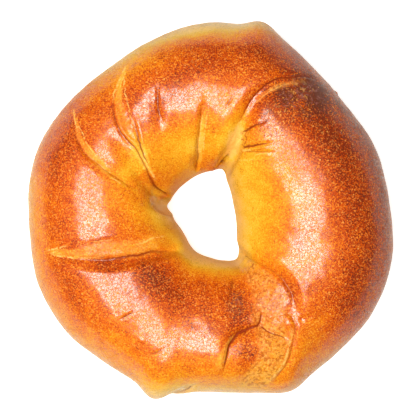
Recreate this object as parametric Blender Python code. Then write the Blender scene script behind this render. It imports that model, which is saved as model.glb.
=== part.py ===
# A hand-rolled bagel: one rope of dough closed into a ring, proved, boiled and baked.
# It lies flat on z = 0 with its hole upright, and its outline is centred on x = y = 0.
# Sizes are in millimetres and angles in degrees until the finished points are handed to Blender.
#
# A place on the crust is named by two angles:
#   around - round the ring, seen from above, 0 at +X and 90 at +Y
#   over   - round the rope, 0 at the outer rim, 90 on the crest, 180 at the hole, -90 underneath
import math

import bpy
import numpy as np

MM = 0.001

# How finely the ring is cut: stations round the ring, and stations round the rope.
STATIONS_AROUND = 336
STATIONS_OVER = 72
CREST_CROWDING = 0.2  # share by which the stations gather on the upper side
THINNING = 0.245  # share of the facets kept: they stay small in the folds and grow where it is smooth

# The rope's section.
BELLY_HEIGHT = 15.5  # height of the widest part of the rope
CREST_FULLNESS = 0.95  # 1 is a plain ellipse, less is fuller at the shoulders
UNDERSIDE_SQUARENESS = 2.5  # 2 is an ellipse, more gives a flatter base with rounder corners
UNDERSIDE_SINK = 2.6  # how far the rope has slumped into the tray, which leaves the flat base

# Distance from the middle of the bagel to its outer rim, by angle around. The ring has four soft
# corners, where the dough was gripped and where its ends meet.
RIM_RADIUS = {
    0: 51.9, 20: 50.9, 40: 49.8, 58: 51.5, 67: 53.8, 75: 57.0, 81: 55.0, 90: 54.6, 100: 53.5,
    110: 52.2, 122: 50.8, 145: 52.1, 160: 53.3, 172: 53.2, 188: 52.9, 205: 54.2, 222: 54.2,
    240: 53.3, 246: 53.8, 253: 56.9, 260: 53.2, 270: 52.2, 283: 54.1, 295: 57.0, 301: 55.5,
    312: 54.9, 328: 55.2, 345: 54.2,
}

# The hole is longer than it is wide and has a corner at each end, so it has a centre of its own.
HOLE_CENTRE = (-1.0, -1.0)
HOLE_RADIUS = {
    0: 8.0, 20: 7.9, 40: 8.9, 55: 10.3, 63: 11.4, 71: 13.3, 80: 12.9, 90: 12.8, 100: 12.2,
    125: 11.1, 150: 11.2, 160: 11.0, 168: 11.3, 177: 9.7, 187: 9.4, 205: 8.7, 225: 8.9,
    250: 11.1, 275: 12.5, 290: 13.8, 305: 14.8, 312: 13.3, 319: 11.6, 330: 9.9, 345: 8.6,
}

# Height of the crest above the tray.
CREST_HEIGHT = {0: 36.5, 50: 38.0, 100: 36.5, 150: 37.0, 200: 36.0, 240: 37.0, 290: 35.0, 330: 36.0}

# The folds. Each is a line over the crust through a few places (around, over). A size given as
# several values runs through them evenly from the start of the line to its end.
#   depth - depth of the valley along the line
#   width - half the width of the valley
#   step  - how far the crust on the left of the line stands over the crust on its right
#   reach - how far from the line the step has died away
#   fade  - how much of each end of the line the fold takes to run out, as shares of its length
FOLDS = {
    # The two places where the rope narrows and was stretched, left and upper left.
    "stretch foot": dict(
        line=[(192, 24), (195, 48), (201, 72), (210, 104), (218, 125), (233, 156)],
        depth=(0.9, 1.8), width=1.7, step=(-0.6, -1.5), reach=9, fade=(0.25, 0.1),
    ),
    "stretch head": dict(
        line=[(193, 42), (194, 70), (197, 102), (204, 127), (212, 150)],
        depth=0.3, width=1.6, step=0.7, reach=5, fade=(0.3, 0.25),
    ),
    "tuck": dict(
        line=[(167, 196), (166, 174), (157, 144), (147, 114), (141, 93), (140, 79), (134, 62)],
        depth=(1.0, 3.2, 1.2, 0.6), width=(2.4, 1.6), step=(-1.4, -0.9), reach=8, fade=(0.14, 0.3),
    ),
    "tuck shoulder": dict(
        line=[(125, 50), (127, 60), (131, 80), (136, 105), (143, 128)],
        depth=0.4, width=1.6, step=0.6, reach=5, fade=(0.3, 0.3),
    ),
    "side crease": dict(
        line=[(145, 46), (150, 58), (155, 74), (158, 98), (160, 124), (163, 142)],
        depth=(1.1, 0.5), width=1.6, step=-0.5, reach=6, fade=(0.25, 0.3),
    ),
    # The far side of the ring, where the crust is drawn thin towards the hole.
    "top crease": dict(
        line=[(111, 70), (115, 82), (117, 92), (121, 106)],
        depth=0.8, width=1.5, step=0.4, reach=5, fade=(0.35, 0.35),
    ),
    "top band": dict(
        line=[(88, 86), (92, 102), (96, 122), (99, 140), (105, 162)],
        depth=(0.5, 1.4), width=1.7, step=(-0.5, -1.2), reach=6, fade=(0.3, 0.1),
    ),
    # One end of the rope lies over the next part of the ring, upper right.
    "lap": dict(
        line=[(73, 196), (73, 160), (70, 138), (70, 110), (69, 90), (65, 74), (57, 49), (50, 24)],
        depth=(1.0, 3.0, 1.6, 0.8), width=(2.4, 1.6), step=(1.6, 1.0), reach=10, fade=(0.12, 0.3),
    ),
    # The closing seam, lower right: the lap's edge, the patch of torn dough and its branching crack.
    "seam": dict(
        line=[(308, 192), (309, 163), (311, 143), (318, 115), (318, 98), (312, 84), (307, 74)],
        depth=(1.0, 2.6, 1.2, 0.6), width=(2.4, 1.7), step=(1.5, 0.8), reach=9, fade=(0.14, 0.1),
    ),
    "seam foot": dict(
        line=[(307, 78), (303, 68), (299, 58), (294, 45), (288, 28)],
        depth=0.6, width=1.7, step=1.0, reach=7, fade=(0.1, 0.3),
    ),
    "crack": dict(
        line=[(301, 106), (297, 97), (293, 92), (287, 90), (281, 84), (278, 70), (274, 46)],
        depth=(1.8, 1.0), width=1.6, step=(-0.7, -0.7), reach=6, fade=(0.2, 0.3),
    ),
    "crack arm": dict(
        line=[(293, 92), (297, 84), (299, 76), (303, 66)],
        depth=0.9, width=1.5, step=-0.4, reach=4, fade=(0.1, 0.4),
    ),
    # A pinched corner of the rim, lower left.
    "corner fold": dict(
        line=[(256, -12), (258, 6), (262, 24), (267, 42)],
        depth=1.4, width=1.6, step=(-1.4, -0.8), reach=7, fade=(0.3, 0.35),
    ),
}
LINE_STEPS = 24  # straight pieces between two places of a fold's line

# Broad hollows and swellings that proving left in the rope: around, over, height, how far they run.
SWELLINGS = [
    (216, 78, 0.9, 14),
    (30, 80, 0.8, 16),
    (176, 84, -0.7, 12),
    (291, 82, -0.6, 10),
    (95, 60, 0.6, 14),
    (252, 49, 1.5, 11),
    (256, 114, -0.7, 11),
    (277, 62, 2.0, 9),
    (305, 100, -0.7, 10),
    (345, 70, 0.5, 14),
]


def round_loop(stations, angles):
    """The smooth closed curve through stations {angle: value}, read at many angles."""
    marks = np.array(sorted(stations), float)
    values = np.array([stations[mark] for mark in sorted(stations)])
    marks = np.concatenate([marks[-2:] - 360, marks, marks[:2] + 360])
    values = np.concatenate([values[-2:], values, values[:2]])
    slopes = np.gradient(values, marks)
    angles = np.mod(angles, 360)
    at = np.clip(np.searchsorted(marks, angles, side="right") - 1, 0, len(marks) - 2)
    gap = marks[at + 1] - marks[at]
    t = (angles - marks[at]) / gap
    return (
        values[at] * (1 + 2 * t) * (1 - t) ** 2
        + slopes[at] * gap * t * (1 - t) ** 2
        + values[at + 1] * t * t * (3 - 2 * t)
        + slopes[at + 1] * gap * t * t * (t - 1)
    )


def crust_points(around, over):
    """Points of the smooth crust, before its folds, at arrays of the two angles."""
    turn = np.radians(around)
    heading = np.stack([np.cos(turn), np.sin(turn)], axis=-1)
    rim = heading * round_loop(RIM_RADIUS, around)[..., None]
    hole = heading * round_loop(HOLE_RADIUS, around)[..., None] + HOLE_CENTRE
    across = np.cos(np.radians(over))
    up = np.sin(np.radians(over))
    crest = round_loop(CREST_HEIGHT, around)
    above = BELLY_HEIGHT + (crest - BELLY_HEIGHT) * np.abs(up) ** CREST_FULLNESS
    below = BELLY_HEIGHT - (BELLY_HEIGHT + UNDERSIDE_SINK) * np.abs(up) ** (2 / UNDERSIDE_SQUARENESS)
    squared = np.sign(across) * np.abs(across) ** (2 / UNDERSIDE_SQUARENESS)
    across = np.where(up >= 0, across, squared)
    plan = (rim + hole) / 2 + (rim - hole) / 2 * across[..., None]
    height = np.where(up >= 0, above, np.maximum(below, 0))
    return np.concatenate([plan, height[..., None]], axis=-1)


def crust_normals(around, over):
    """Outward directions of the smooth crust at arrays of the two angles."""
    small = 0.5
    along = crust_points(around + small, over) - crust_points(around - small, over)
    across = crust_points(around, over + small) - crust_points(around, over - small)
    normals = np.cross(along, across)
    return normals / np.maximum(np.linalg.norm(normals, axis=-1, keepdims=True), 1e-9)


def drawn_line(places):
    """Many points along the smooth line through a few places (around, over)."""
    places = np.array(places, float)
    places = np.concatenate([2 * places[:1] - places[1:2], places, 2 * places[-1:] - places[-2:-1]])
    pieces = []
    for start in range(len(places) - 3):
        a, b, c, d = places[start:start + 4]
        t = np.arange(LINE_STEPS)[:, None] / LINE_STEPS
        pieces.append(
            b + t * (c - a) / 2 + t**2 * (a - 2.5 * b + 2 * c - d / 2) + t**3 * (3 * b - 3 * c + d - a) / 2
        )
    pieces.append(places[-2:-1])
    path = np.concatenate(pieces)
    return crust_points(path[:, 0], path[:, 1])


def ramp(size, share):
    """A size that may be given as several values along a line, at a share of the way along."""
    values = np.atleast_1d(size)
    return np.interp(share, np.linspace(0, 1, len(values)), values)


def fold_relief(points, normals, fold):
    """How far one fold moves each point of the crust along its normal."""
    line = drawn_line(fold["line"])
    lengths = np.concatenate([[0], np.cumsum(np.linalg.norm(np.diff(line, axis=0), axis=1))])
    apart = np.linalg.norm(points[:, None, :] - line[None, :, :], axis=2)
    nearest = np.argmin(apart, axis=1)
    share = lengths[nearest] / lengths[-1]
    forward = np.gradient(line, axis=0)[nearest]
    leftward = np.cross(normals, forward)
    side = np.sign(np.einsum("ij,ij->i", leftward, points - line[nearest]))
    distance = apart[np.arange(len(points)), nearest]
    fade_in, fade_out = fold["fade"]
    strength = np.ones(len(points))
    if fade_in:
        strength *= np.clip(share / fade_in, 0, 1)
    if fade_out:
        strength *= np.clip((1 - share) / fade_out, 0, 1)
    strength = strength * strength * (3 - 2 * strength)
    width = ramp(fold["width"], share)
    valley = ramp(fold["depth"], share) * np.exp(-(distance / width) ** 2)
    climb = 1 - np.exp(-(distance / (width * 0.7)) ** 2)
    fall = np.exp(-(distance / fold["reach"] * 1.6) ** 2)
    step = ramp(fold["step"], share) / 2 * side * climb * fall
    return strength * (step - valley)


def swelling_relief(points):
    """How far the broad hollows and swellings move each point along its normal."""
    relief = np.zeros(len(points))
    for around, over, height, run in SWELLINGS:
        centre = crust_points(np.array([around]), np.array([over]))[0]
        relief += height * np.exp(-(np.linalg.norm(points - centre, axis=1) / run) ** 2)
    return relief


def clear_scene():
    for thing in list(bpy.data.objects):
        bpy.data.objects.remove(thing)


def roll_ring():
    """A plain torus, laid on the smooth crust and then folded."""
    rope, ring = 1.0, 3.0
    bpy.ops.mesh.primitive_torus_add(
        major_segments=STATIONS_AROUND, minor_segments=STATIONS_OVER, major_radius=ring, minor_radius=rope
    )
    bagel = bpy.context.object
    bagel.name = bagel.data.name = "bagel"
    x, y, z = np.array([vertex.co for vertex in bagel.data.vertices]).T
    around = np.degrees(np.arctan2(y, x))
    over = np.arctan2(z, np.hypot(x, y) - ring)
    over = np.degrees(over + CREST_CROWDING * np.cos(over))
    points = crust_points(around, over)
    normals = crust_normals(around, over)
    relief = swelling_relief(points)
    for fold in FOLDS.values():
        relief += fold_relief(points, normals, fold)
    flat = points[:, 2] <= 0
    folded = points + normals * relief[:, None]
    folded[flat] = points[flat]
    folded[:, 2] = np.maximum(folded[:, 2], 0)
    outline = folded[:, :2]
    outline -= (outline.min(axis=0) + outline.max(axis=0)) / 2
    for vertex, place in zip(bagel.data.vertices, folded):
        vertex.co = place * MM
    thin = bagel.modifiers.new("thin", "DECIMATE")
    thin.ratio = THINNING
    bpy.ops.object.modifier_apply(modifier="thin")
    bagel.data.shade_smooth()
    return bagel


def crust_material():
    """Browned egg-glossed crust."""
    material = bpy.data.materials.new("crust")
    material.use_nodes = True
    shader = material.node_tree.nodes["Principled BSDF"]
    shader.inputs["Base Color"].default_value = (0.78, 0.28, 0.035, 1)
    shader.inputs["Roughness"].default_value = 0.5
    shader.inputs["Metallic"].default_value = 0
    material.diffuse_color = (0.78, 0.28, 0.035, 1)
    return material


def main():
    clear_scene()
    bagel = roll_ring()
    bagel.data.materials.append(crust_material())
    collection = bpy.data.collections.new("bagel")
    bpy.context.scene.collection.children.link(collection)
    for home in list(bagel.users_collection):
        home.objects.unlink(bagel)
    collection.objects.link(bagel)


main()
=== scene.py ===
# A glossy baked bagel on a pale table. The crust is one fine skin fitted over the solid model,
# with its folds, tears and blisters pressed in and its bake painted on.
import math

import bpy
import numpy as np
from mathutils import Matrix, Vector, noise


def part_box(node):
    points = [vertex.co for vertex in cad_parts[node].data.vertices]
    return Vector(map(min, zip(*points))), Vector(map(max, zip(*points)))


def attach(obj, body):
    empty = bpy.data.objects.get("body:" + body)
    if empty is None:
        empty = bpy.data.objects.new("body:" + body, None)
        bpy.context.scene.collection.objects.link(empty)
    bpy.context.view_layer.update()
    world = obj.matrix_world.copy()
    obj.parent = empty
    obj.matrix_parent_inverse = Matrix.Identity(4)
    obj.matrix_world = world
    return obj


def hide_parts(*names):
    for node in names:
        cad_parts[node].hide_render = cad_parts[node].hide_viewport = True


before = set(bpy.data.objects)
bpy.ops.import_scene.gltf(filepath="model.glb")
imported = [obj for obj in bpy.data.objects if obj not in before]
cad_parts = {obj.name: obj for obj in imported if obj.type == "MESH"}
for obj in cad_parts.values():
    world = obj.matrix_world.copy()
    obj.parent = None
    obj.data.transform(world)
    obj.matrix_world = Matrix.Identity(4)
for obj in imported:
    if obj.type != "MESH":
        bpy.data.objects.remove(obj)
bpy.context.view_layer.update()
low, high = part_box("bagel")
millimetre = 0.001

# The crust's skin: a ring of stations gathered on the side that shows.
skin = {
    "around": 256,  # stations round the ring, each of them halved once
    "over": 192,  # stations round the rope
    "crowding": 0.42,  # how far the stations gather on the upper side
    "ringRadius": 0.31,  # of the rope's middle, as a share of the bagel's width
    "ropeRadius": 0.12,  # of the starting rope, as a share of the ring's radius
    "belly": 0.42,  # height of the rope's middle, as a share of the bagel's height
    "smoothing": 9,
}


def deselectAll():
    if bpy.context.mode != "OBJECT":
        bpy.ops.object.mode_set(mode="OBJECT")
    bpy.ops.object.select_all(action="DESELECT")


def makeActive(piece):
    deselectAll()
    piece.select_set(True)
    bpy.context.view_layer.objects.active = piece


def applyModifier(piece, name, kind, **settings):
    makeActive(piece)
    modifier = piece.modifiers.new(name, kind)
    for key, value in settings.items():
        setattr(modifier, key, value)
    bpy.ops.object.modifier_apply(modifier=name)


def readPoints(piece):
    points = np.empty(len(piece.data.vertices) * 3)
    piece.data.vertices.foreach_get("co", points)
    return points.reshape(-1, 3)


def readNormals(piece):
    normals = np.empty(len(piece.data.vertices) * 3)
    piece.data.vertex_normals.foreach_get("vector", normals)
    return normals.reshape(-1, 3)


def writePoints(piece, points):
    piece.data.vertices.foreach_set("co", np.ascontiguousarray(points, np.float32).ravel())
    piece.data.update()


def makeGuide():
    # a welded and rounded copy of the solid, for the skin to lie on
    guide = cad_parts["bagel"].copy()
    guide.data = guide.data.copy()
    guide.name = "guide"
    bpy.context.scene.collection.objects.link(guide)
    makeActive(guide)
    bpy.ops.object.mode_set(mode="EDIT")
    bpy.ops.mesh.select_all(action="SELECT")
    bpy.ops.mesh.remove_doubles(threshold=0.01 * millimetre)
    bpy.ops.object.mode_set(mode="OBJECT")
    applyModifier(guide, "round", "SUBSURF", levels=1, render_levels=1)
    return guide


def settle(angles, stations):
    # each angle moved to its nearest station, and that station's number
    number = np.round(angles / (2 * math.pi) * stations).astype(int) % stations
    return number / stations * 2 * math.pi, number


def makeSkin(guide):
    width = high.x - low.x
    centre = Vector(
        ((low.x + high.x) / 2, (low.y + high.y) / 2, low.z + skin["belly"] * (high.z - low.z))
    )
    ring = skin["ringRadius"] * width
    rope = skin["ropeRadius"] * ring
    deselectAll()
    bpy.ops.mesh.primitive_torus_add(
        location=centre, major_segments=skin["around"], minor_segments=skin["over"],
        major_radius=ring, minor_radius=rope, generate_uvs=True,
    )
    crust = bpy.context.object
    crust.name = "crust"
    crust.data.uv_layers[0].name = "OFBake"
    bpy.ops.object.transform_apply(location=True, rotation=True, scale=True)
    # halve every edge that runs round the ring
    ends = np.empty(len(crust.data.edges) * 2, int)
    crust.data.edges.foreach_get("vertices", ends)
    ends = ends.reshape(-1, 2)
    makeActive(crust)
    bpy.ops.object.mode_set(mode="EDIT")
    bpy.ops.mesh.select_mode(type="EDGE")
    bpy.ops.mesh.select_all(action="DESELECT")
    bpy.ops.object.mode_set(mode="OBJECT")
    crust.data.edges.foreach_set("select", (ends[:, 0] - ends[:, 1]) % skin["over"] == 0)
    bpy.ops.object.mode_set(mode="EDIT")
    bpy.ops.mesh.subdivide(number_cuts=1)
    bpy.ops.object.mode_set(mode="OBJECT")
    # slide the stations towards the upper side
    flat = readPoints(crust) - np.array(centre)
    around = np.arctan2(flat[:, 1], flat[:, 0])
    over = np.arctan2(flat[:, 2], np.hypot(flat[:, 0], flat[:, 1]) - ring)
    around, stationAround = settle(around, 2 * skin["around"])
    over, stationOver = settle(over, skin["over"])
    over = over + skin["crowding"] * np.cos(over)
    reach = ring + rope * np.cos(over)
    slid = np.stack([reach * np.cos(around), reach * np.sin(around), rope * np.sin(over)], axis=1)
    writePoints(crust, slid + np.array(centre))
    applyModifier(
        crust, "fit", "SHRINKWRAP", target=guide, wrap_method="PROJECT",
        use_project_x=False, use_project_y=False, use_project_z=False,
        use_positive_direction=True, use_negative_direction=False,
    )
    applyModifier(crust, "soften", "SMOOTH", factor=0.5, iterations=skin["smoothing"])
    order = np.lexsort((stationOver, stationAround)).reshape(-1, skin["over"])
    return crust, np.degrees(around) % 360, np.degrees(over) % 360, order


guide = makeGuide()
crust, around, over, order = makeSkin(guide)
bpy.data.objects.remove(guide)
basePoints = readPoints(crust)
baseNormals = readNormals(crust)
print("skin fitted:", len(crust.data.polygons), "faces")

# Places on the crust are (around, over) in degrees: round the ring from +X, and over the rope
# from the rim, 0, past the crest, 90, to the hole, 180.
stationsAround = np.append(around[order[:, 0]], 360.0)
overOrder = np.argsort(over[order[0]])
stationsOver = over[order[0]][overOrder]
skinGrid = basePoints[order][:, overOrder]
skinGrid = np.concatenate([skinGrid, skinGrid[:1]])
skinGrid = np.concatenate([skinGrid[:, -1:], skinGrid, skinGrid[:, :1]], axis=1)
stationsOver = np.concatenate([[stationsOver[-1] - 360], stationsOver, [stationsOver[0] + 360]])


def onCrust(places):
    places = np.atleast_2d(places)
    row = np.interp(places[:, 0] % 360, stationsAround, np.arange(len(stationsAround)))
    column = np.interp(places[:, 1] % 360, stationsOver, np.arange(len(stationsOver)))
    i = np.minimum(row.astype(int), len(stationsAround) - 2)
    j = np.minimum(column.astype(int), len(stationsOver) - 2)
    s = (row - i)[:, None]
    t = (column - j)[:, None]
    near = skinGrid[i, j] * (1 - t) + skinGrid[i, j + 1] * t
    far = skinGrid[i + 1, j] * (1 - t) + skinGrid[i + 1, j + 1] * t
    return near * (1 - s) + far * s


def drawLine(places, steps=16):
    # a smooth line through a few places
    places = np.array(places, float)
    places = np.concatenate([2 * places[:1] - places[1:2], places, 2 * places[-1:] - places[-2:-1]])
    pieces = []
    for start in range(len(places) - 3):
        a, b, c, d = places[start : start + 4]
        t = np.arange(steps)[:, None] / steps
        pieces.append(
            b + t * (c - a) / 2 + t**2 * (a - 2.5 * b + 2 * c - d / 2)
            + t**3 * (3 * b - 3 * c + d - a) / 2
        )
    pieces.append(places[-2:-1])
    return onCrust(np.concatenate(pieces)) / millimetre


def along(values, share):
    # a size given as several values along a line
    values = np.atleast_1d(values)
    return np.interp(share, np.linspace(0, 1, len(values)), values)


def follow(places, reach):
    # the points near a line: which, how far to its left (plus) or right (minus), how far along
    line = drawLine(places)
    points = basePoints / millimetre
    inside = np.all((points > line.min(0) - reach) & (points < line.max(0) + reach), axis=1)
    near = np.flatnonzero(inside)
    apart = np.linalg.norm(points[near, None, :] - line[None, :, :], axis=2)
    nearest = np.argmin(apart, axis=1)
    distance = apart[np.arange(len(near)), nearest]
    lengths = np.concatenate([[0], np.cumsum(np.linalg.norm(np.diff(line, axis=0), axis=1))])
    forward = np.gradient(line, axis=0)[nearest]
    leftward = np.cross(baseNormals[near], forward)
    offset = points[near] - line[nearest]
    side = np.sign(np.einsum("ij,ij->i", leftward, offset))
    ahead = np.abs(np.einsum("ij,ij->i", forward, offset)) / np.maximum(
        np.linalg.norm(forward, axis=1), 1e-9
    )
    share = lengths[nearest] / lengths[-1]
    keep = (distance < reach) & ~(((share <= 0) | (share >= 1)) & (ahead > distance * 0.7 + 0.2))
    return near[keep], (distance * side)[keep], share[keep]


def fadeEnds(share, fade):
    strength = np.ones(len(share))
    if fade[0]:
        strength = strength * np.clip(share / fade[0], 0, 1)
    if fade[1]:
        strength = strength * np.clip((1 - share) / fade[1], 0, 1)
    return strength * strength * (3 - 2 * strength)


def wobble(size, seed):
    # slow noise over the crust, about -1 to 1, one value for each point
    shift = Vector((seed * 7.3, seed * 3.1, seed * 5.7))
    values = [noise.noise(Vector(p) / (size * millimetre) + shift) for p in basePoints]
    return np.array(values) * 1.6


relief = np.zeros(len(basePoints))  # how far each point moves out, in millimetres
layers = ("bake", "stretch", "field", "crease", "scorch", "dull", "crinkle", "ink", "thread", "side")
paint = {name: np.zeros(len(basePoints)) for name in layers}
gaps = {name: np.full(len(basePoints), 9.0) for name in ("ink", "thread")}
roughEdge = wobble(3.5, 1)
fineEdge = wobble(1.2, 2)
slowDrift = wobble(14, 3)

# Sharp creases: cut and width in mm, lip the raised edge on each side (left, right), dark the
# brown line in the crease, partly browner crust and partly painted shade of the groove, all of
# them one value or several along the line.
creases = {
    "stretch foot": dict(
        line=[(194, 42), (197, 48), (199, 59), (202, 76), (206, 93), (209, 106), (212, 117),
              (216, 130), (222, 139), (231, 152)],
        cut=(0.1, 0.25, 0.4, 0.6, 0.5, 0.2), width=0.5, lip=(0.1, 0.1),
        dark=(0.2, 0.3, 0.5, 0.9, 1.0, 0.6, 0.3), fade=(0.12, 0.15),
    ),
    "tuck": dict(
        line=[(165, 176), (163, 165), (160, 150), (156, 138), (149, 124), (142, 109), (141, 100),
              (139, 87), (136, 76), (133, 67), (130, 61), (126, 55)],
        cut=(1.4, 1.2, 0.8, 0.5, 0.4, 0.4, 0.3, 0.2), width=(0.8, 0.6, 0.45, 0.4), lip=(0.05, 0.25),
        dark=(1.0, 1.0, 0.8, 0.6, 0.8, 0.8, 0.5, 0.3), fade=(0.1, 0.2),
    ),
    "tuck red line": dict(
        line=[(129, 84), (132, 93), (137, 106), (142, 116), (146, 127)],
        cut=(0.2, 0.4, 0.2), width=0.45, lip=(0.1, 0.05), dark=(0.5, 0.9, 0.5), fade=(0.25, 0.25),
    ),
    "side crease": dict(
        line=[(147, 48), (151, 58), (155, 69), (157, 81), (159, 92), (161, 106), (163, 116), (164, 132)],
        cut=(0.2, 0.35, 0.35, 0.2), width=0.4, lip=(0.05, 0.15), dark=(0.3, 0.5, 0.5, 0.4),
        fade=(0.15, 0.35),
    ),
    "top line": dict(
        line=[(112, 72), (114, 80), (115, 84), (117, 90), (118, 97), (119, 105)],
        cut=0.3, width=0.4, lip=(0.1, 0.1), dark=0.8, fade=(0.3, 0.3),
    ),
    "top line short": dict(
        line=[(79, 88), (80, 95), (82, 103)],
        cut=0.2, width=0.35, lip=(0.05, 0.05), dark=0.7, fade=(0.4, 0.4),
    ),
    "top band": dict(
        line=[(91, 94), (95, 101), (96, 110), (98, 121), (102, 142), (107, 160), (110, 168)],
        cut=(0.1, 0.3, 0.6), width=0.5, lip=(0.05, 0.2), dark=(0.3, 0.4, 0.8), fade=(0.2, 0.1),
    ),
    "lap": dict(
        line=[(72, 118), (71, 110), (71, 103), (70, 92), (67, 78), (64, 68), (59, 57), (55, 46),
              (52, 37), (50, 24)],
        cut=(0.1, 0.25, 0.35, 0.3, 0.2), width=0.42, lip=(0.05, 0.15), dark=(0.5, 0.9, 1.0, 0.8, 0.5),
        fade=(0.2, 0.2),
    ),
    "lap foot": dict(
        line=[(79, 176), (76, 166), (73, 156), (72, 144)],
        cut=(1.1, 0.5, 0.1), width=0.6, lip=(0.1, 0.1), dark=(1.0, 0.6, 0.2), fade=(0.1, 0.3),
    ),
    "notch": dict(
        line=[(90, 174), (86, 169), (81, 166), (76, 158), (73, 150)],
        cut=0.9, width=0.6, lip=(0.4, 0.3), dark=1.0, fade=(0.2, 0.2),
    ),
    "wrinkle high": dict(
        line=[(69, 121), (67, 117), (64, 109), (60, 102), (57, 95)],
        cut=0.3, width=0.45, lip=(0.1, 0.1), dark=(0.9, 1.0, 0.5), fade=(0.2, 0.4),
    ),
    "wrinkle middle": dict(
        line=[(66, 130), (62, 126), (55, 118), (49, 111), (45, 104)],
        cut=0.35, width=0.45, lip=(0.1, 0.1), dark=(0.9, 1.0, 0.5), fade=(0.2, 0.4),
    ),
    "wrinkle low": dict(
        line=[(62, 130), (56, 125), (47, 117), (39, 109)],
        cut=0.25, width=0.35, lip=(0.1, 0.1), dark=0.5, fade=(0.2, 0.4),
    ),
    "seam": dict(
        line=[(306, 176), (308, 164), (309, 155), (312, 135), (315, 120), (316, 106), (315, 95),
              (313, 86), (311, 78)],
        cut=(0.9, 0.5, 0.35, 0.35, 0.3), width=0.5, lip=(0.1, 0.2), dark=(0.8, 0.3, 0.3, 0.6, 0.4),
        fade=(0.1, 0.15),
    ),
    "seam foot": dict(
        line=[(306, 82), (307, 74), (306, 67), (302, 56), (297, 44), (293, 38), (288, 27)],
        cut=(0.3, 0.4, 0.3), width=0.45, lip=(0.05, 0.2), dark=(0.4, 0.5, 0.3), fade=(0.1, 0.25),
    ),
    "crack": dict(
        line=[(298, 97), (296, 91), (293, 82), (289, 82), (285, 82), (282, 81), (278, 73), (276, 65),
              (274, 52)],
        cut=(0.2, 0.35, 0.45, 0.5, 0.4, 0.2), width=(0.36, 0.42, 0.5, 0.6, 0.6, 0.48, 0.4),
        lip=(0.1, 0.1), dark=(0.6, 1.0, 1.1, 1.1, 1.0, 0.8), fade=(0.15, 0.2),
    ),
    "crack arm": dict(
        line=[(293, 82), (294, 78), (295, 74), (299, 65), (301, 57)],
        cut=(0.3, 0.2, 0.1), width=0.36, lip=(0.05, 0.05), dark=(1.0, 0.9, 0.6), fade=(0.02, 0.25),
    ),
    "bruise edge": dict(
        line=[(289, 141), (286, 127), (283, 117), (282, 108)],
        cut=0.25, width=0.6, lip=(0.05, 0.05), dark=(0.4, 0.7, 0.3), fade=(0.3, 0.4),
    ),
    "corner fold": dict(
        line=[(257, -4), (260, 4), (263, 20), (264, 33), (267, 43)],
        cut=(0.8, 0.6, 0.3), width=0.5, lip=(0.2, 0.2), dark=(0.6, 0.7, 0.3), fade=(0.15, 0.3),
    ),
    "small line upper": dict(
        line=[(230, 70), (232, 77), (233, 84)],
        cut=0.25, width=0.35, lip=(0.05, 0.05), dark=0.8, fade=(0.3, 0.3),
    ),
    "small line lower": dict(
        line=[(246, 57), (250, 65), (254, 73)],
        cut=0.2, width=0.35, lip=(0.05, 0.05), dark=0.6, fade=(0.3, 0.3),
    ),
}
# Thin bright edges where the dough split, partly pale torn dough and partly a painted highlight
# where the edge catches the light: line, half width in mm and strength.
threads = {
    "band tip": dict(line=[(194, 41), (194, 50), (194, 58), (194, 66)], width=0.28, pale=(1.0, 0.8, 0.4)),
    "band foot": dict(
        line=[(194, 42), (196, 47), (198, 58), (201, 74), (204, 90)], width=0.28, pale=(1.0, 1.0, 0.7, 0.3),
    ),
    "band top": dict(line=[(195, 84), (196, 94), (197, 103)], width=0.2, pale=0.5),
    "band inner": dict(
        line=[(204, 118), (206, 126), (206, 134), (209, 144), (213, 150)], width=0.25, pale=0.6,
    ),
    "lens tip": dict(
        line=[(119, 42), (123, 49), (126, 55), (130, 61), (132, 68)], width=0.32, pale=(0.8, 1.0, 0.4),
    ),
    "lens right": dict(
        line=[(119, 44), (122, 51), (124, 58), (126, 66), (128, 76), (131, 86), (133, 96)], width=0.22,
        pale=(0.6, 0.8, 0.5, 0.3),
    ),
    "lens foot": dict(
        line=[(141, 110), (144, 118), (148, 127), (153, 139)], width=0.35, pale=(0.4, 0.8, 0.6),
    ),
    "side tip": dict(line=[(143, 38), (145, 45), (148, 54), (152, 64)], width=0.22, pale=(0.7, 0.7, 0.3)),
    "side right": dict(line=[(146, 50), (149, 62), (153, 75), (155, 86)], width=0.22, pale=0.6),
    "side foot": dict(line=[(161, 95), (162, 103), (164, 112)], width=0.25, pale=0.6),
    "top left": dict(line=[(94, 104), (96, 114), (98, 126), (101, 142)], width=0.2, pale=(0.4, 0.7, 0.4)),
    "top right": dict(line=[(91, 102), (93, 114), (95, 130), (98, 148)], width=0.2, pale=(0.4, 0.6, 0.5)),
    "top streak": dict(line=[(79, 92), (81, 100), (84, 110)], width=0.2, pale=0.25),
    "lap lip": dict(line=[(68, 94), (65, 83), (62, 73), (58, 62)], width=0.22, pale=0.35),
    "lap foot": dict(line=[(70, 104), (72, 113), (72, 123), (73, 134)], width=0.3, pale=0.6),
    "lap foot low": dict(line=[(66, 114), (68, 128), (69, 138)], width=0.25, pale=0.5),
    "wrinkle middle": dict(line=[(65, 133), (60, 127), (54, 121)], width=0.3, pale=0.6),
    "wrinkle far": dict(line=[(52, 124), (45, 116), (40, 113)], width=0.2, pale=0.6),
    "wrinkle low": dict(line=[(62, 140), (54, 131), (47, 126)], width=0.2, pale=0.5),
    "seam rim": dict(
        line=[(304, 72), (304, 65), (300, 55), (295, 44), (291, 38), (287, 31)], width=0.45,
        pale=(0.4, 0.7, 0.8, 0.5),
    ),
    "crack arm": dict(line=[(296, 80), (298, 74), (301, 66)], width=0.2, pale=0.4),
    "seam scar": dict(line=[(301, 130), (304, 118), (306, 106)], width=0.2, pale=0.3),
    "corner": dict(line=[(259, 20), (262, 30), (265, 42)], width=0.3, pale=0.7),
}


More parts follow.
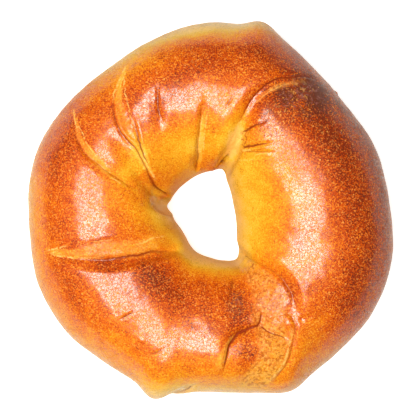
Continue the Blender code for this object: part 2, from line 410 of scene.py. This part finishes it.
def drawStroke(kind, near, offset, width, strength):
    # a crisp line for the finish: its strength, and the distance from it in half widths
    strength = strength * np.clip((1.4 - np.abs(offset)) / 0.5, 0, 1)
    chosen = strength > paint[kind][near]
    paint[kind][near[chosen]] = strength[chosen]
    gaps[kind][near[chosen]] = (offset / width)[chosen]


def pressCrease(crease):
    near, offset, share = follow(crease["line"], 4)
    strength = fadeEnds(share, crease["fade"])
    width = along(crease["width"], share)
    offset = offset + 0.12 * fineEdge[near] + 0.15 * roughEdge[near]
    cut = along(crease["cut"], share) * np.exp(-((offset / width) ** 2))
    leftLip = crease["lip"][0] * np.exp(-(((offset - 2.2 * width) / (1.3 * width)) ** 2))
    rightLip = crease["lip"][1] * np.exp(-(((offset + 2.2 * width) / (1.3 * width)) ** 2))
    relief[near] += strength * (leftLip + rightLip - cut)
    # painted shade: the dark line and the softer brown beside it stand partly for browner crust and partly for
    # the shade down in the groove
    dark = strength * along(crease["dark"], share)
    drawStroke("ink", near, offset, 0.5 * width, dark)
    dark = 0.55 * dark * np.exp(-((offset / (width * 1.5)) ** 2))
    paint["crease"][near] = np.maximum(paint["crease"][near], dark)


for crease in creases.values():
    pressCrease(crease)
print("creases pressed:", len(creases))

# painted highlight: the pale edge lines are partly torn dough and partly light caught on the edge
for thread in threads.values():
    near, offset, share = follow(thread["line"], 3)
    offset = offset + 0.15 * fineEdge[near] + 0.1 * roughEdge[near]
    strength = fadeEnds(share, (0.2, 0.25)) * along(thread["pale"], share)
    drawStroke("thread", near, offset, np.full(len(near), thread["width"]), strength)
print("threads drawn:", len(threads))

# Places where the dough was drawn out and baked paler: a line down the middle, its half width in
# mm to the left and to the right, how pale it is and how rough.
stretches = {
    "left band": dict(
        line=[(194, 43), (196, 54), (197, 63), (199, 78), (201, 96), (205, 109), (208, 120), (211, 132),
              (216, 145)],
        left=(0.3, 1.2, 1.8, 2.4, 2.7, 2.8, 2.6, 2.2), right=(0.3, 1.2, 1.8, 2.4, 2.7, 2.8, 2.6, 2.2),
        pale=(1.0, 0.75, 0.6, 0.6, 0.65, 0.6, 0.65, 0.45), rough=0.14, fade=(0.04, 0.15),
    ),
    "tuck band": dict(
        line=[(119, 44), (122, 49), (125, 55), (128, 62), (131, 71), (134, 80), (136, 91), (139, 103),
              (143, 115), (149, 127), (155, 140)],
        left=(0.2, 0.5, 0.8, 1.3, 1.8, 2.2, 2.2, 1.6, 1.2, 0.9), pale=(0.9, 0.8, 0.6, 0.5, 0.6, 0.8, 0.6),
        right=(0.2, 0.4, 0.7, 1.0, 1.5, 2.0, 2.2, 1.6, 1.2, 0.9), rough=0.16, fade=(0.03, 0.2),
    ),
    "side band": dict(
        line=[(143, 40), (145, 45), (147, 53), (151, 62), (154, 75), (157, 86), (160, 97), (163, 108)],
        left=(0.2, 0.6, 0.9, 1.2, 1.2, 0.8), right=(0.2, 0.5, 0.8, 1.2, 1.4, 0.8),
        pale=(0.8, 0.6, 0.7, 0.8, 0.6), rough=0.12, fade=(0.04, 0.25),
    ),
    "top band": dict(
        line=[(91, 96), (94, 108), (96, 118), (98, 131), (102, 147), (106, 160)],
        left=(0.4, 0.9, 1.0), right=(0.4, 0.9, 1.0), pale=(0.3, 0.7, 0.7), rough=0.08, fade=(0.2, 0.15),
    ),
    "lap lip": dict(
        line=[(69, 99), (67, 88), (64, 78), (61, 69), (57, 59), (53, 48), (50, 36)],
        left=0.8, right=(0.9, 1.2, 0.8), pale=(0.4, 0.6, 0.4), rough=0.12, fade=(0.25, 0.3),
    ),
    "lap foot": dict(
        line=[(71, 103), (71, 113), (70, 121), (70, 133), (71, 146), (73, 158)],
        left=(0.8, 1.6, 2.0, 2.0, 1.4), right=(0.8, 1.8, 2.4, 2.0, 1.4), pale=(0.4, 0.7, 0.8, 0.8, 0.7),
        rough=0.2, fade=(0.15, 0.15),
    ),
    "seam field": dict(
        line=[(306, 168), (307, 148), (306, 130), (306, 116), (304, 98), (299, 82), (297, 66), (294, 56),
              (290, 46), (285, 35), (281, 22)],
        left=(1.0, 1.4, 2.2, 3.4, 4.8, 4.4, 3.6, 3.0, 3.4, 3.6, 4.0),
        right=(1.0, 2.0, 3.6, 4.8, 5.4, 5.6, 5.4, 4.6, 5.0, 5.0, 4.5),
        pale=(0.6, 0.75, 0.7, 0.7, 0.8, 0.9, 0.9), rough=0.22, fade=(0.1, 0.1), field=True,
    ),
    "crack lip": dict(
        line=[(284, 88), (280, 80), (276, 71), (273, 61), (271, 52)],
        left=(0.4, 0.8, 1.2, 1.0), right=(0.4, 0.9, 1.4, 1.2), pale=(0.4, 0.7, 0.7, 0.4), rough=0.08,
        fade=(0.25, 0.25),
    ),
    "corner pocket": dict(
        line=[(261, 22), (263, 30), (265, 40)],
        left=(1.2, 1.6), right=(1.0, 1.2), pale=0.9, rough=0.2, fade=(0.2, 0.3),
    ),
}


def drawStretch(band):
    near, offset, share = follow(band["line"], 13 if band.get("field") else 6)
    strength = fadeEnds(share, band["fade"])
    offset = offset + 0.35 * roughEdge[near] + 0.2 * fineEdge[near]
    width = np.where(offset > 0, along(band["left"], share), along(band["right"], share))
    inside = 1 / (1 + (np.abs(offset) / width) ** 6)
    amount = strength * inside * along(band["pale"], share)
    layer = paint["field" if band.get("field") else "stretch"]
    layer[near] = np.maximum(layer[near], amount)
    relief[near] += strength * inside * band["rough"] * (0.6 * fineEdge[near] + 0.4 * roughEdge[near])


for band in stretches.values():
    drawStretch(band)
print("stretched dough drawn:", len(stretches))

# How far the crust is baked, from 0, straw, to 1, dark brown, at places across the rope.
bakeOver = (-60, -24, 2, 30, 50, 70, 90, 110, 130, 150, 172)
bakeAround = {
    0: (0.60, 0.66, 0.60, 0.91, 0.90, 0.88, 0.66, 0.50, 0.39, 0.16, 0.03),
    30: (0.60, 0.70, 0.70, 0.93, 0.93, 1.00, 0.78, 0.58, 0.34, 0.17, 0.04),
    60: (0.60, 0.66, 0.60, 0.78, 0.85, 0.68, 0.76, 0.52, 0.24, 0.08, 0.00),
    90: (0.50, 0.50, 0.16, 0.16, 0.76, 0.81, 0.60, 0.46, 0.34, 0.44, 0.50),
    120: (0.50, 0.50, 0.22, 0.28, 0.37, 0.73, 0.74, 0.50, 0.30, 0.37, 0.28),
    150: (0.60, 0.56, 0.40, 0.68, 0.76, 0.67, 0.60, 0.32, 0.55, 0.45, 0.36),
    # at 180 the hole side is set to straw, a painted light that brightens the wall where it lies in shade
    180: (0.50, 0.52, 0.26, 0.41, 0.68, 0.67, 0.62, 0.50, 0.38, 0.00, 0.00),
    210: (0.50, 0.52, 0.26, 0.50, 0.72, 0.70, 0.84, 0.66, 0.58, 0.26, 0.18),
    240: (0.45, 0.50, 0.28, 0.44, 0.50, 0.61, 0.64, 0.90, 0.66, 0.04, 0.02),
    270: (0.45, 0.46, 0.20, 0.26, 0.44, 0.62, 0.75, 0.78, 0.72, 0.14, 0.00),
    300: (0.50, 0.52, 0.30, 0.50, 0.50, 0.60, 0.76, 0.62, 0.62, 0.24, 0.04),
    330: (0.60, 0.62, 0.60, 0.88, 0.89, 0.74, 0.66, 0.54, 0.40, 0.14, 0.00),
    360: (0.60, 0.66, 0.60, 0.91, 0.90, 0.88, 0.66, 0.50, 0.39, 0.16, 0.03),
}
# Darker and paler places: (around, over), half length in degrees each way, and how much.
bakePatches = {
    "burnt crown": ((50, 58), (9, 20), 0.20),
    "burnt crown heart": ((57, 78), (7, 10), 0.20),
    "burnt crown back": ((60, 99), (5, 7), 0.14),
    "burnt shoulder": ((40, 74), (10, 16), 0.08),
    "pale lap foot": ((74, 122), (6, 22), -0.34),
    "golden by the band": ((106, 136), (6, 14), -0.16),
    "toasted by the top line": ((106, 88), (6, 8), 0.14),
    "toasted lower left": ((228, 116), (11, 14), 0.22),
    "toasted rim left": ((212, 50), (10, 10), 0.08),
    "toasted by the band": ((196, 68), (5, 8), 0.10),
    "toasted under the crack": ((284, 62), (4, 9), 0.28),
    "toasted by the seam": ((285, 92), (6, 10), 0.12),
    "toasted over the seam": ((286, 108), (7, 12), 0.26),
    "toasted seam heart": ((301, 106), (7, 16), 0.14),
    "toasted left shoulder": ((163, 50), (7, 16), 0.10),
    "toasted right crest": ((344, 107), (13, 8), 0.20),
    "golden tuck": ((150, 118), (7, 10), -0.10),
    # the hole walls are paler, partly less baked dough and partly painted light where the wall lies in shade
    "golden hole wall": ((256, 162), (10, 12), -0.30),
    "golden hole wall right": ((285, 165), (10, 12), -0.20),
    "golden top rim": ((84, 18), (13, 8), -0.42),
    "toasted top rim": ((74, 48), (6, 14), 0.10),
    # painted shade: a brown patch in the hole corner by the tuck, where shade falls
    "shaded hole corner": ((165, 168), (5, 9), 0.30),
    "brown hole side": ((226, 148), (7, 9), 0.14),
    "golden right foot": ((315, 54), (6, 8), -0.10),
    "toasted side": ((152, 58), (5, 9), 0.10),
    "golden side": ((137, 130), (6, 8), -0.10),
    "golden top rim left": ((106, 30), (12, 8), -0.16),
    "golden corner rim": ((256, 28), (9, 12), -0.24),
    "golden seam wall": ((315, 146), (7, 14), -0.16),
}
# Where the glaze is dull and broken.
dullPatches = {
    "crown": ((50, 66), (12, 26), 0.95),
    "wrinkles": ((58, 106), (9, 16), 0.5),
    "right shoulder": ((36, 104), (15, 14), 0.65),
    "top right": ((84, 92), (9, 14), 0.5),
    "left crest": ((166, 86), (16, 14), 0.5),
    "by the band": ((200, 88), (4, 14), 0.6),
    "seam foot": ((292, 58), (11, 24), 0.85),
    "under the crack": ((281, 70), (6, 12), 0.9),
    "seam heart": ((302, 98), (9, 14), 0.75),
    "bruise": ((284, 108), (8, 12), 0.5),
    "low left": ((240, 80), (14, 14), 0.3),
    "low crest": ((222, 86), (10, 14), 0.2),
    "upper left rim": ((126, 16), (30, 24), 0.5),
    "low right": ((319, 92), (6, 14), 0.4),
}
# Where the glaze is drawn into fine crinkles.
crinklePatches = {
    "crown": ((52, 64), (9, 22), 0.6),
    "wrinkles": ((54, 98), (10, 16), 1.0),
    "lap foot": ((66, 120), (7, 18), 0.6),
    "shoulder": ((38, 78), (8, 14), 0.35),
    "seam side": ((313, 92), (5, 14), 0.8),
    "bruise": ((284, 106), (7, 14), 0.7),
    "low shoulder": ((268, 84), (10, 12), 0.5),
    "left shoulder": ((157, 84), (8, 14), 0.4),
}
scorchPatches = {
    "crown": ((49, 54), (9, 18), 1.3),
    "crown heart": ((56, 74), (7, 11), 0.9),
    "crown shoulder": ((46, 74), (7, 9), 0.6),
    "crown rim": ((42, 36), (12, 11), 0.55),
    "lower left": ((228, 113), (9, 8), 0.35),
    "seam side": ((284, 66), (4, 9), 0.45),
    "seam bruise": ((287, 109), (5, 13), 0.65),
    "top rim": ((104, 60), (14, 14), 0.2),
}


def turnApart(first, second):
    return (first - second + 180) % 360 - 180


def patch(place, size):
    across = turnApart(over, place[1]) / size[1]
    sideways = turnApart(around, place[0]) / size[0]
    return np.exp(-(across**2 + sideways**2))


def paintBake():
    stations = sorted(bakeAround)
    profile = np.stack([np.interp(turnApart(over, 60) + 60, bakeOver, bakeAround[s]) for s in stations])
    row = np.interp(around, stations, np.arange(len(stations)))
    i = np.minimum(row.astype(int), len(stations) - 2)
    t = row - i
    t = t * t * (3 - 2 * t)
    n = np.arange(len(around))
    bake = profile[i, n] * (1 - t) + profile[i + 1, n] * t
    for place, size, amount in bakePatches.values():
        bake = bake + amount * patch(place, size)
    paint["bake"] = bake + 0.03 * slowDrift
    for place, size, amount in scorchPatches.values():
        paint["scorch"] = np.maximum(paint["scorch"], amount * patch(place, size))
    for place, size, amount in dullPatches.values():
        paint["dull"] = np.maximum(paint["dull"], amount * patch(place, size))
    for place, size, amount in crinklePatches.values():
        paint["crinkle"] = np.maximum(paint["crinkle"], amount * patch(place, size))
    # no glaze down in the hole or underneath
    hidden = np.clip((over - 142) / 20, 0, 1) * np.clip((352 - over) / 20, 0, 1)
    paint["dull"] = np.maximum(paint["dull"], hidden)
    # the outer side, where the crust dries to a duller tan
    turned = turnApart(over, 0)
    paint["side"] = np.clip((32 - turned) / 30, 0, 1) * np.clip((turned + 95) / 20, 0, 1)


paintBake()
print("bake painted")

# Pits and pimples: place, radius and height in mm.
marks = {
    "crown nub": ((43, 9), 0.6, 0.5),
    "pit left": ((226, 76), 0.45, -0.25),
    "pit left low": ((228, 73), 0.45, -0.2),
    "pimple": ((242, 66), 0.6, 0.35),
    "pit right": ((310, 68), 0.7, -0.45),
    "pit right low": ((313, 66), 0.6, -0.35),
    "crumb top": ((30, 62), 0.5, 0.4),
}
for place, size, height in marks.values():
    apart = np.linalg.norm(basePoints - onCrust(place), axis=1) / millimetre
    relief += height * np.exp(-((apart / size) ** 2))

# The crest leans outwards, more or less round the ring, and slow lumps and dimples run all over.
leans = {0: 0.5, 20: 0.5, 45: 0.4, 60: 0.3, 80: -0.2, 92: -0.1, 103: 0.2, 120: 1.1, 135: 1.0, 150: 0.55,
         165: 0.65, 180: 0.55, 195: 0.75, 210: 0.1, 225: 0.35, 240: 0.2, 250: 0.05, 262: 0.4, 275: 0.15,
         295: 0.3, 310: -0.5, 322: -0.2, 335: 0.2, 348: 0.3, 360: 0.5}
stations = sorted(leans)
row = np.interp(around, stations, np.arange(len(stations)))
i = np.minimum(row.astype(int), len(stations) - 2)
turn = row - i
turn = turn * turn * (3 - 2 * turn)
leanValues = np.array([leans[station] for station in stations])
lean = leanValues[i] * (1 - turn) + leanValues[i + 1] * turn
relief += lean * np.sin(np.radians(2 * over)) * (over < 180)
lumps = {"slow": (14, 0.22), "middle": (5.5, 0.07), "dimples": (2.2, 0.03)}
relief += lumps["slow"][1] * slowDrift
relief += lumps["middle"][1] * wobble(lumps["middle"][0], 5)
relief += lumps["dimples"][1] * wobble(lumps["dimples"][0], 6)

# Broader swellings and hollows of the upper side: place, radius and height in mm.
swells = [
    ((112, 54), 9, 0.8), ((134, 86), 9, -0.6), ((151, 86), 9, -0.3), ((212, 88), 8, -0.9),
    ((228, 84), 9, -0.3), ((255, 85), 9, -0.6), ((269, 54), 9, 0.8), ((272, 114), 9, 0.5),
    ((193, 112), 9, 0.3), ((18, 100), 9, -0.4),
]
for place, size, height in swells:
    apart = np.linalg.norm(basePoints - onCrust(place), axis=1) / millimetre
    relief += height * np.exp(-((apart / size) ** 2))

belowTop = np.clip((basePoints[:, 2] - low.z) / (3 * millimetre), 0, 1)
writePoints(crust, basePoints + baseNormals * (relief * belowTop)[:, None] * millimetre)
paint = {name: np.clip(values, 0, 1.1) for name, values in paint.items()}
paint.update({name + "Gap": values for name, values in gaps.items()})
for name, values in paint.items():
    layer = crust.data.attributes.new(name, "FLOAT", "POINT")
    layer.data.foreach_set("value", np.ascontiguousarray(values, np.float32))
makeActive(crust)
bpy.ops.object.shade_smooth()
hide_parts("bagel")
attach(crust, "root")
print("crust shaped")


class Value:
    # a socket that can stand in a sum; each operator adds its Math node
    def __init__(self, finish, socket):
        self.finish = finish
        self.socket = socket

    def sum(self, operation, first, second):
        return self.finish.node("ShaderNodeMath", {"operation": operation}, {0: first, 1: second})

    def __add__(self, other):
        return self.sum("ADD", self, other)

    def __radd__(self, other):
        return self.sum("ADD", other, self)

    def __sub__(self, other):
        return self.sum("SUBTRACT", self, other)

    def __rsub__(self, other):
        return self.sum("SUBTRACT", other, self)

    def __mul__(self, other):
        return self.sum("MULTIPLY", self, other)

    def __rmul__(self, other):
        return self.sum("MULTIPLY", other, self)


class Finish:
    # one material, and the nodes that are added to it
    def __init__(self, name):
        self.material = bpy.data.materials.new(name)
        self.material.use_nodes = True
        self.tree = self.material.node_tree
        self.shader = self.tree.nodes["Principled BSDF"]

    def node(self, kind, settings=None, sockets=None, output=0):
        new = self.tree.nodes.new(kind)
        for key, value in (settings or {}).items():
            if key == "stops":
                for stop in range(len(value) - 2):
                    new.color_ramp.elements.new(0.5)
                for element, (place, colour) in zip(new.color_ramp.elements, value):
                    element.position = place
                    element.color = (*colour, 1)
            else:
                setattr(new, key, value)
        for key, value in (sockets or {}).items():
            self.connect(new.inputs[key], value)
        return Value(self, new.outputs[output])

    def connect(self, socket, value):
        if isinstance(value, Value):
            self.tree.links.new(value.socket, socket)
        elif isinstance(value, tuple) and len(value) == 3 and socket.type == "RGBA":
            socket.default_value = (*value, 1)
        else:
            socket.default_value = value

    def set(self, **values):
        for key, value in values.items():
            self.connect(self.shader.inputs[key.replace("_", " ")], value)

    def attribute(self, name):
        return self.node("ShaderNodeAttribute", {"attribute_name": name}, output=2)

    def mix(self, amount, first, second, blend="MIX"):
        settings = {"data_type": "RGBA", "blend_type": blend}
        return self.node("ShaderNodeMix", settings, {0: amount, 6: first, 7: second}, output=2)

    def most(self, first, second):
        return self.node("ShaderNodeMath", {"operation": "MAXIMUM"}, {0: first, 1: second})

    def smooth(self, value, start, end):
        sockets = {"Value": value, "From Min": start, "From Max": end}
        return self.node("ShaderNodeMapRange", {"interpolation_type": "SMOOTHSTEP"}, sockets)

    def cloud(self, place, size, detail=2.0, rough=0.5):
        # noise about a size in mm, centred on 0
        sockets = {"Vector": place, "Scale": 1 / (size * millimetre), "Detail": detail, "Roughness": rough}
        return self.node("ShaderNodeTexNoise", {}, sockets) - 0.5


# Bake colours from straw to dark brown, and the sizes in mm of what varies over the crust.
crustFinish = {
    "bakeColours": [
        (0.0, (0.84, 0.52, 0.12)),
        (0.15, (0.77, 0.44, 0.03)),
        (0.35, (0.73, 0.28, 0.006)),
        (0.55, (0.66, 0.15, 0.003)),
        (0.75, (0.52, 0.066, 0.0015)),
        (0.9, (0.36, 0.034, 0.0015)),
        (1.0, (0.17, 0.020, 0.003)),
    ],
    "doughPale": (0.82, 0.40, 0.10),
    "doughWarm": (0.76, 0.24, 0.02),
    "doughLift": 0.24,
    # pale for the split edges and pale cells, partly pale dough and partly painted highlight
    "paleDoughAndHighlightColour": (0.90, 0.60, 0.17),
    "strokeColour": (0.82, 0.36, 0.08),
    "fieldLift": 0.10,
    # brown for the creases and their dark lines, partly browner crust and partly painted shade
    "creaseBrownAndShadeColour": (0.25, 0.026, 0.002),
    "scorchColour": (0.12, 0.024, 0.011),
    # a purple-grey for scorched places, partly burnt crust and partly painted sheen
    "ashAndSheenColour": (0.36, 0.13, 0.12),
    "speckColour": (0.30, 0.040, 0.003),
    "sideColour": (0.86, 0.52, 0.25),
    "mottle": (4.0, 0.35),
    "grain": (0.38, 1.45),
    "grainPull": (1.1, 0.85),
    "grainLevel": 0.015,
    "cells": (0.34, 0.28),
    "patchiness": (14.0, 0.14),
    "glaze": 1.0,
    "glazeRoughness": 0.2,
    "glazeIor": 1.6,
    "bumpDepth": 0.09,
}


def makeCrustFinish():
    finish = Finish("crust")
    place = finish.node("ShaderNodeTexCoord", output=3)
    bake = finish.attribute("bake")
    stretch = finish.attribute("stretch")
    crease = finish.attribute("crease")
    scorch = finish.attribute("scorch")
    field = finish.attribute("field")
    dullness = finish.attribute("dull")
    mottle = finish.cloud(place, crustFinish["mottle"][0], 3.0, 0.6)
    grain = finish.cloud(place, crustFinish["grain"][0], 2.0, 0.7)
    cells = finish.node(
        "ShaderNodeTexVoronoi", {}, {"Vector": place, "Scale": 1 / (crustFinish["cells"][0] * millimetre)},
        output=1,
    )
    cells = finish.node("ShaderNodeSeparateColor", {}, {0: cells}) - 0.5
    patchiness = finish.cloud(place, crustFinish["patchiness"][0], 2.0)
    # the grain lightens more than it darkens
    lift, sink = crustFinish["grainPull"]
    pull = finish.most(grain, 0.0) * sink - finish.most(grain * -1.0, 0.0) * lift + crustFinish["grainLevel"]
    level = bake + mottle * crustFinish["mottle"][1] + pull * crustFinish["grain"][1] * (bake + 0.2)
    level = level + patchiness * crustFinish["patchiness"][1]
    level = level + cells * crustFinish["cells"][1] * (bake + 0.15)
    doughMask = finish.smooth(stretch + mottle * 0.5 + grain * 0.5, 0.15, 0.85)
    level = level - doughMask * crustFinish["doughLift"]
    fieldMask = finish.smooth(field + mottle * 0.4 + grain * 0.4, 0.25, 0.75)
    level = level - fieldMask * crustFinish["fieldLift"]
    colour = finish.node(
        "ShaderNodeValToRGB", {"stops": crustFinish["bakeColours"]}, {"Fac": level}
    )
    sideMask = finish.attribute("side") * finish.smooth(level, 0.65, 0.1)
    colour = finish.mix(sideMask * 0.6, colour, crustFinish["sideColour"])
    # dark specks in the well baked parts
    speck = finish.node("ShaderNodeTexVoronoi", {}, {"Vector": place, "Scale": 1 / (1.5 * millimetre)})
    speckSpread = finish.smooth(finish.cloud(place, 9, 2.0), -0.05, 0.2)
    speckMask = finish.smooth(speck, 0.34, 0.16) * speckSpread * finish.smooth(bake, 0.35, 0.8)
    colour = finish.mix(speckMask * 0.45, colour, crustFinish["speckColour"])
    # scorched places, broken up
    scorchMask = finish.smooth(scorch + mottle * 0.8 + grain * 1.6 + cells * 0.4, 0.2, 0.75)
    colour = finish.mix(scorchMask * 0.92, colour, crustFinish["scorchColour"])
    # a purple-grey over the scorched places, partly burnt crust and partly painted sheen
    ashAndSheen = finish.cloud(place, 1.1, 3.0, 0.65) + finish.smooth(finish.attribute("crinkle"), 0.1, 0.8) * 0.14
    ashAndSheen = scorchMask * finish.smooth(ashAndSheen, 0.06, 0.22)
    colour = finish.mix(ashAndSheen * 0.55, colour, crustFinish["ashAndSheenColour"])
    # pale drawn-out dough with warmer strands
    strand = finish.smooth(finish.cloud(place, 1.4, 3.0, 0.65), -0.12, 0.14)
    dough = finish.mix(strand, crustFinish["doughPale"], crustFinish["doughWarm"])
    colour = finish.mix(finish.most(doughMask * 0.35, fieldMask * 0.3), colour, dough)
    # pale specks everywhere, partly pale blisters and partly painted glints
    fleck = finish.node("ShaderNodeTexVoronoi", {}, {"Vector": place, "Scale": 1 / (1.7 * millimetre)})
    fleckAndGlintMask = finish.smooth(fleck + mottle * 0.2, 0.17, 0.08) * finish.smooth(bake, 0.3, 0.7)
    colour = finish.mix(fleckAndGlintMask * 0.6, colour, crustFinish["strokeColour"])
    paleCellsAndGlints = finish.smooth(cells, -0.25, -0.45) * finish.smooth(bake, 0.2, 0.6)
    paleCellsAndGlints = paleCellsAndGlints * (1 - scorchMask * 0.8)
    colour = finish.mix(paleCellsAndGlints * 0.13, colour, crustFinish["paleDoughAndHighlightColour"])
    # crumbs and small bubbles in the torn dough
    crumb = finish.cloud(place, 0.8, 3.0, 0.7)
    bubbles = finish.node("ShaderNodeTexVoronoi", {}, {"Vector": place, "Scale": 1 / (1.5 * millimetre)})
    crumbDark = finish.smooth(crumb + bubbles * 0.3, 0.13, 0.3) * fieldMask
    crumbPale = finish.smooth(crumb, -0.03, -0.14) * fieldMask
    colour = finish.mix(crumbDark * 0.6, colour, crustFinish["speckColour"])
    colour = finish.mix(crumbPale * 0.6, colour, crustFinish["doughPale"])
    # fine crinkles drawn across the rope, pale on their backs and dark between
    unrolled = finish.node("ShaderNodeUVMap", {"uv_map": "OFBake"})
    unrolled = finish.node(
        "ShaderNodeVectorMath", {"operation": "MULTIPLY"}, {0: unrolled, 1: (300.0, 64.0, 1.0)}
    )
    crinkle = finish.cloud(unrolled, 1 / millimetre, 3.0, 0.6)
    crinkled = finish.smooth(finish.attribute("crinkle") + mottle * 0.6, 0.2, 0.7)
    colour = finish.mix(finish.smooth(crinkle, -0.01, -0.1) * crinkled * 0.8, colour, crustFinish["speckColour"])
    colour = finish.mix(finish.smooth(crinkle, 0.05, 0.14) * crinkled * 0.65, colour, crustFinish["strokeColour"])
    # brown in the creases, partly browner crust and partly painted shade; pale along the split edges, partly torn
    # dough and partly painted highlight
    creaseBrownAndShadeMask = finish.smooth(crease + grain * 0.5, 0.2, 0.8)
    colour = finish.mix(creaseBrownAndShadeMask * 0.7, colour, crustFinish["creaseBrownAndShadeColour"])
    threadGap = finish.node("ShaderNodeMath", {"operation": "ABSOLUTE"}, {0: finish.attribute("threadGap")})
    broken = finish.smooth(finish.cloud(place, 1.0, 2.0), -0.16, 0.06)
    paleEdgeAndHighlightMask = finish.smooth(threadGap + grain * 3.0, 1.5, 0.3) * finish.attribute("thread") * broken
    colour = finish.mix(paleEdgeAndHighlightMask * 0.8, colour, crustFinish["paleDoughAndHighlightColour"])
    # the dark crease line, partly browner crust and partly painted shade in the groove
    inkGap = finish.node("ShaderNodeMath", {"operation": "ABSOLUTE"}, {0: finish.attribute("inkGap")})
    inkAndShadeMask = finish.smooth(inkGap + grain * 2.4, 1.4, 0.4) * finish.attribute("ink")
    colour = finish.mix(inkAndShadeMask * 0.9, colour, crustFinish["creaseBrownAndShadeColour"])
    finish.set(Base_Color=colour)
    # dull dots and threads where the glaze has cracked
    network = finish.node(
        "ShaderNodeTexVoronoi", {"feature": "DISTANCE_TO_EDGE"},
        {"Vector": place, "Scale": 1 / (1.0 * millimetre)},
    )
    threads = finish.smooth(network + grain * 0.6, 0.14, 0.02)
    dots = finish.smooth(cells + mottle * 0.8, -0.05, -0.3)
    glaze = 1 - finish.most(threads * 0.75, dots * 0.9)
    glaze = glaze * (1 - finish.most(doughMask * 0.75, fieldMask * 0.5)) * (1 - dullness * 0.85)
    glaze = glaze * (1 - finish.most(paleEdgeAndHighlightMask, inkAndShadeMask) * 0.7)
    glaze = glaze * (1 - finish.smooth(finish.cloud(place, 3.2, 3.0, 0.65), 0.0, 0.2) * 0.5)
    finish.set(Roughness=0.55 + mottle * 0.3, Coat_Weight=glaze * crustFinish["glaze"])
    finish.set(Specular_IOR_Level=0.15, Coat_Roughness=crustFinish["glazeRoughness"])
    finish.set(Coat_IOR=crustFinish["glazeIor"])
    # blisters and fine wrinkles of the skin
    blister = finish.node(
        "ShaderNodeTexVoronoi", {"feature": "SMOOTH_F1"},
        {"Vector": place, "Scale": 1 / (1.3 * millimetre), "Smoothness": 0.4},
    )
    height = grain * 0.8 + blister * 0.25 + finish.cloud(place, 2.4, 2.0) * 0.6
    torn = finish.most(finish.most(doughMask, fieldMask), dullness)
    height = height + torn * crumb * 2.0 + cells * 0.25 + crinkled * crinkle * 3.0 - inkAndShadeMask * 1.5
    bump = finish.node(
        "ShaderNodeBump", {},
        {"Strength": 1.0, "Distance": crustFinish["bumpDepth"] * millimetre, "Height": height},
    )
    finish.connect(finish.shader.inputs["Normal"], bump)
    return finish.material


crust.data.materials.append(makeCrustFinish())
print("crust finished")

# The table: a white top that only the camera sees, over a pale one that bounces the light.
table = {"radius": 3.0, "white": 0.8, "glow": 0.7, "bounce": 0.65, "bounceGlow": 0.15, "backdrop": 2.8}


def makeDisc(name, height, glow, white):
    deselectAll()
    bpy.ops.mesh.primitive_circle_add(
        radius=table["radius"], fill_type="NGON", vertices=96, location=(0, 0, 0)
    )
    disc = bpy.context.object
    disc.name = name
    disc.data.transform(Matrix.Translation((0, 0, height)))
    finish = Finish(name)
    finish.set(Base_Color=(white, white, white), Roughness=0.9, Emission_Color=(1.0, 1.0, 1.0))
    finish.set(Emission_Strength=glow, Specular_IOR_Level=0.1)
    disc.data.materials.append(finish.material)
    return disc


def showOnlyToCamera(piece):
    for ray in ("visible_diffuse", "visible_glossy", "visible_shadow", "visible_transmission"):
        setattr(piece, ray, False)


def makeBackdrop():
    # a white room round the table, so the far side of the table has no edge
    deselectAll()
    bpy.ops.mesh.primitive_uv_sphere_add(segments=64, ring_count=32, radius=table["backdrop"])
    backdrop = bpy.context.object
    backdrop.name = "backdrop"
    finish = Finish("backdrop")
    finish.set(Base_Color=(0.0, 0.0, 0.0), Emission_Color=(1.0, 1.0, 1.0), Emission_Strength=1.0)
    finish.set(Specular_IOR_Level=0.0)
    backdrop.data.materials.append(finish.material)
    return backdrop


tableTop = makeDisc("tableTop", low.z - 0.05 * millimetre, table["glow"], table["white"])
showOnlyToCamera(tableTop)
showOnlyToCamera(makeBackdrop())
bounceTop = makeDisc("bounceTop", low.z - 0.1 * millimetre, table["bounceGlow"], table["bounce"])
bounceTop.visible_camera = False

light = {"tilt": (-11, -4), "size": 0.62, "distance": 1.05, "radiance": 16.5, "room": 0.01,
         "colour": (1.0, 0.95, 0.82)}


def makeLight():
    data = bpy.data.lights.new("softbox", "AREA")
    data.shape = "SQUARE"
    data.size = light["size"]
    data.energy = light["radiance"] * math.pi * light["size"] ** 2
    data.color = light["colour"]
    lamp = bpy.data.objects.new("softbox", data)
    bpy.context.scene.collection.objects.link(lamp)
    side, front = [math.sin(math.radians(tilt)) for tilt in light["tilt"]]
    direction = Vector((side, front, math.sqrt(1 - side**2 - front**2)))
    lamp.location = direction * light["distance"]
    lamp.rotation_euler = direction.to_track_quat("Z", "Y").to_euler()
    lamp.visible_camera = False
    world = bpy.data.worlds.new("room")
    world.use_nodes = True
    background = world.node_tree.nodes["Background"]
    background.inputs["Color"].default_value = (1, 1, 1, 1)
    background.inputs["Strength"].default_value = light["room"]
    bpy.context.scene.world = world


makeLight()

view = {"height": 0.6355, "side": -0.000145, "lens": 183.2}
camera = bpy.data.objects.new("camera", bpy.data.cameras.new("camera"))
bpy.context.scene.collection.objects.link(camera)
camera.location = (view["side"], 0, view["height"])
camera.data.lens = view["lens"]
camera.data.sensor_width = 36
bpy.context.scene.camera = camera
bpy.context.scene.view_settings.view_transform = "Standard"
print("table, light and camera set")
